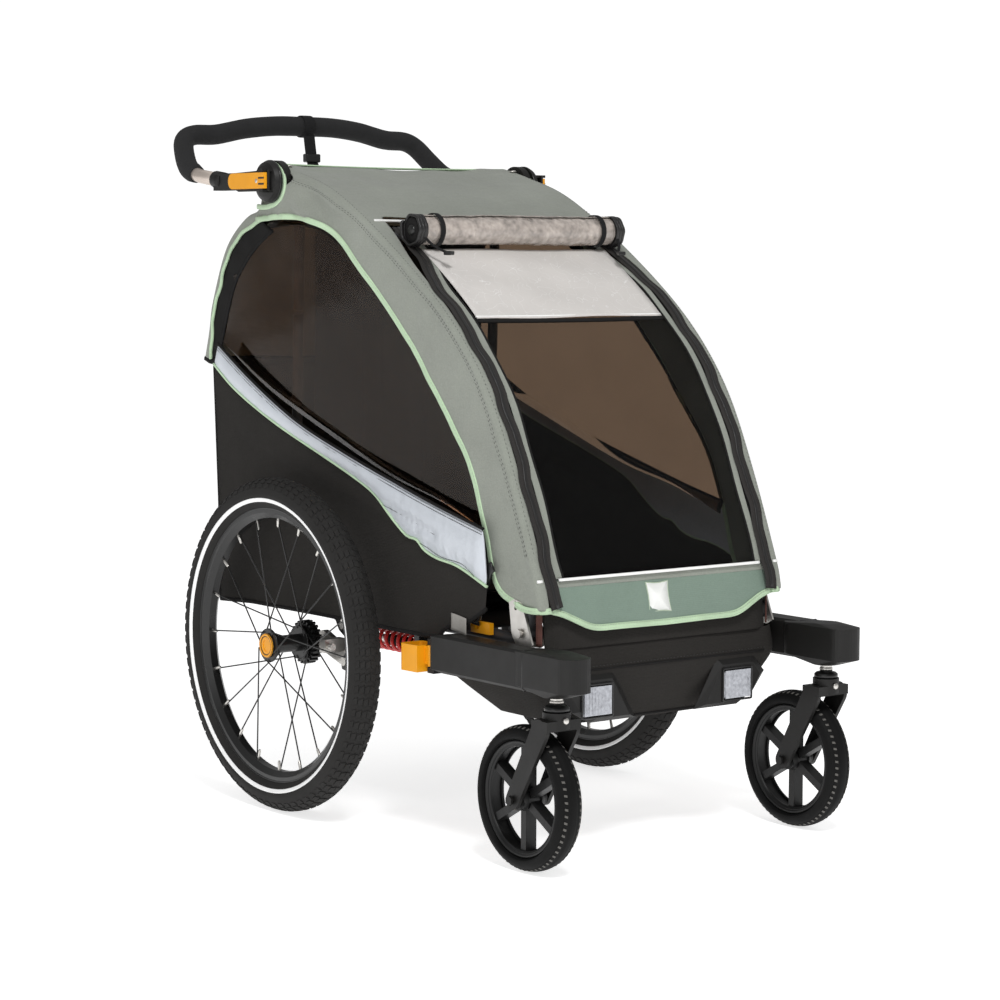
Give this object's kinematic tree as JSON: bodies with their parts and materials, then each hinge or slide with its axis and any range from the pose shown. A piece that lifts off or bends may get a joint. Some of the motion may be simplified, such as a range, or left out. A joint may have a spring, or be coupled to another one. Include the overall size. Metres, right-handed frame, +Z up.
{
  "type": "child bicycle trailer",
  "caption": "Fabric-covered child trailer in stroller form, with a folding tube frame, sprung spoked wheels, swivelling front casters and a swinging push bar.",
  "frame": {"origin": "on the ground, midway between the two sides and between the front arms' noses and the back of the grip", "axes": "+Z up, +X to the trailer's left, and the front faces -Y"},
  "size_m": [0.646, 1.0673, 1.055],
  "materials": {
    "frame_grey": "satin powder coat",
    "bare_steel": "brushed",
    "bolt_steel": "polished",
    "charcoal_fabric": "coarse woven polyester",
    "silver_fabric": "reflective quilted cloth",
    "black_fabric": "woven webbing and cloth",
    "black_plastic": "fine moulded texture",
    "clear_lens": "prismatic",
    "black_metal": "satin black",
    "orange_plastic": "semi-gloss moulded",
    "spring_red": "gloss powder coat",
    "sage_fabric": "woven polyester, slightly heathered",
    "clear_vinyl": "clear soft vinyl, rolled",
    "dark_mesh": "fine net",
    "shade_cloth": "translucent coated cloth",
    "smoked_vinyl": "smoked soft vinyl",
    "silver_tube": "satin anodised",
    "grip_foam": "closed-cell foam",
    "tyre_rubber": "moulded rubber with a light reflective band",
    "caster_rubber": "smooth rubber",
    "caster_plastic": "moulded"
  },
  "bodies": {
    "base": {"base_frame": "frame_grey", "frame_plates": "bare_steel", "frame_bolts": "bolt_steel", "floor_shell": "charcoal_fabric", "side_wall_left": "charcoal_fabric", "side_wall_right": "charcoal_fabric", "side_band_left": "silver_fabric", "side_band_right": "silver_fabric", "rear_panel": "charcoal_fabric", "seat_pan": "black_fabric", "seat_back": "black_fabric", "harness": "black_fabric", "reflector_housings": "black_plastic", "reflector_lenses": "clear_lens", "suspension_brackets": "black_metal", "strap_anchors": "orange_plastic", "stroller_arm_left": "black_plastic", "stroller_arm_right": "black_plastic", "spring_left": "spring_red", "spring_right": "spring_red"},
    "cage": {"roll_cage": "frame_grey", "canopy": "sage_fabric", "window_roll": "clear_vinyl", "front_screen": "dark_mesh", "sunshade": "shade_cloth", "hub_plates": "black_plastic", "rear_cover": "sage_fabric", "side_window_left": "smoked_vinyl", "side_window_right": "smoked_vinyl", "front_apron": "sage_fabric"},
    "uprights": {"rear_uprights": "frame_grey"},
    "push_bar": {"handle_tube": "silver_tube", "handle_grip": "grip_foam", "handle_sockets": "black_plastic", "grip_strap": "black_fabric"},
    "bar_lever_left": {"handle_lever_left": "orange_plastic"},
    "bar_lever_right": {"handle_lever_right": "orange_plastic"},
    "pedal": {"brake_pedal": "black_plastic"},
    "suspension_left": {"swing_arm_left": "silver_tube"},
    "pawl_left": {"brake_pawl_left": "silver_tube"},
    "button_left": {"axle_button_left": "orange_plastic"},
    "wheel_left": {"tyre_left": "tyre_rubber", "rim_left": "black_metal", "spokes_left": "black_metal", "hub_left": "black_metal"},
    "swivel_left": {"fork_left": "black_plastic"},
    "caster_left": {"caster_tyre_left": "caster_rubber", "caster_rim_left": "caster_plastic"},
    "cup_left": {"arm_lever_left": "orange_plastic"},
    "suspension_right": {"swing_arm_right": "silver_tube"},
    "pawl_right": {"brake_pawl_right": "silver_tube"},
    "button_right": {"axle_button_right": "orange_plastic"},
    "wheel_right": {"tyre_right": "tyre_rubber", "rim_right": "black_metal", "spokes_right": "black_metal", "hub_right": "black_metal"},
    "swivel_right": {"fork_right": "black_plastic"},
    "caster_right": {"caster_tyre_right": "caster_rubber", "caster_rim_right": "caster_plastic"},
    "cup_right": {"arm_lever_right": "orange_plastic"}
  },
  "joints": [
    {"name": "frame_fold", "type": "hinge", "parent": "base", "child": "cage", "pos_m": [0, -0.36, 0.316], "axis": [-1, 0, 0], "range_deg": [0, 33], "deforming": ["rear_cover", "rear_panel", "side_window_left", "side_window_right", "front_apron", "seat_back", "harness"]},
    {"name": "upright_fold", "type": "hinge", "parent": "base", "child": "uprights", "pos_m": [0, 0.262, 0.304], "axis": [1, 0, 0], "range_deg": [0, 70]},
    {"name": "bar_swing", "type": "hinge", "parent": "cage", "child": "push_bar", "pos_m": [0, 0.241, 0.94], "axis": [1, 0, 0], "range_deg": [-35, 110], "deforming": ["grip_strap"]},
    {"name": "pedal_press", "type": "hinge", "parent": "base", "child": "pedal", "pos_m": [0, 0.386, 0.304], "axis": [-1, 0, 0], "range_deg": [0, 18]},
    {"name": "suspension_left", "type": "hinge", "parent": "base", "child": "suspension_left", "pos_m": [0.216, 0.065, 0.226], "axis": [1, 0, 0], "range_deg": [0, 10], "stiffness_Nm_per_rad": 60, "springref_deg": -6.88, "deforming": ["spring_left"]},
    {"name": "wheel_left", "type": "hinge", "parent": "suspension_left", "child": "wheel_left", "pos_m": [0.299, 0.133, 0.25], "axis": [1, 0, 0], "continuous": true},
    {"name": "pawl_left", "type": "slide", "parent": "suspension_left", "child": "pawl_left", "axis": [0, 1, 0], "range_m": [0, 0.0045]},
    {"name": "button_left", "type": "slide", "parent": "suspension_left", "child": "button_left", "axis": [-1, 0, 0], "range_m": [0, 0.003], "stiffness_N_per_m": 400, "springref_m": -0.002},
    {"name": "swivel_left", "type": "hinge", "parent": "base", "child": "swivel_left", "pos_m": [0.247, -0.471, 0.24], "axis": [0, 0, 1], "continuous": true},
    {"name": "caster_left", "type": "hinge", "parent": "swivel_left", "child": "caster_left", "pos_m": [0.247, -0.411, 0.1], "axis": [1, 0, 0], "continuous": true},
    {"name": "cup_left", "type": "hinge", "parent": "base", "child": "cup_left", "pos_m": [0.258, -0.203, 0.27], "axis": [0, 0, -1], "range_deg": [0, 20], "stiffness_Nm_per_rad": 1, "springref_deg": -5.73},
    {"name": "bar_lever_left", "type": "hinge", "parent": "push_bar", "child": "bar_lever_left", "pos_m": [0.2652, 0.223, 0.94], "axis": [0, 0, -1], "range_deg": [0, 18], "stiffness_Nm_per_rad": 0.6, "springref_deg": -5.73},
    {"name": "suspension_right", "type": "hinge", "parent": "base", "child": "suspension_right", "pos_m": [-0.216, 0.065, 0.226], "axis": [1, 0, 0], "range_deg": [0, 10], "stiffness_Nm_per_rad": 60, "springref_deg": -6.88, "deforming": ["spring_right"]},
    {"name": "wheel_right", "type": "hinge", "parent": "suspension_right", "child": "wheel_right", "pos_m": [-0.299, 0.133, 0.25], "axis": [1, 0, 0], "continuous": true},
    {"name": "pawl_right", "type": "slide", "parent": "suspension_right", "child": "pawl_right", "axis": [0, 1, 0], "range_m": [0, 0.0045]},
    {"name": "button_right", "type": "slide", "parent": "suspension_right", "child": "button_right", "axis": [1, 0, 0], "range_m": [0, 0.003], "stiffness_N_per_m": 400, "springref_m": -0.002},
    {"name": "swivel_right", "type": "hinge", "parent": "base", "child": "swivel_right", "pos_m": [-0.247, -0.471, 0.24], "axis": [0, 0, 1], "continuous": true},
    {"name": "caster_right", "type": "hinge", "parent": "swivel_right", "child": "caster_right", "pos_m": [-0.247, -0.411, 0.1], "axis": [1, 0, 0], "continuous": true},
    {"name": "cup_right", "type": "hinge", "parent": "base", "child": "cup_right", "pos_m": [-0.258, -0.203, 0.27], "axis": [0, 0, 1], "range_deg": [0, 20], "stiffness_Nm_per_rad": 1, "springref_deg": -5.73},
    {"name": "bar_lever_right", "type": "hinge", "parent": "push_bar", "child": "bar_lever_right", "pos_m": [-0.2652, 0.223, 0.94], "axis": [0, 0, 1], "range_deg": [0, 18], "stiffness_Nm_per_rad": 0.6, "springref_deg": -5.73}
  ],
  "couplings": [
    {"joint": "upright_fold", "follows": "frame_fold", "ratio": 2.12},
    {"joint": "pawl_left", "follows": "pedal_press", "m_per_rad": 0.01432},
    {"joint": "pawl_right", "follows": "pedal_press", "m_per_rad": 0.01432}
  ]
}
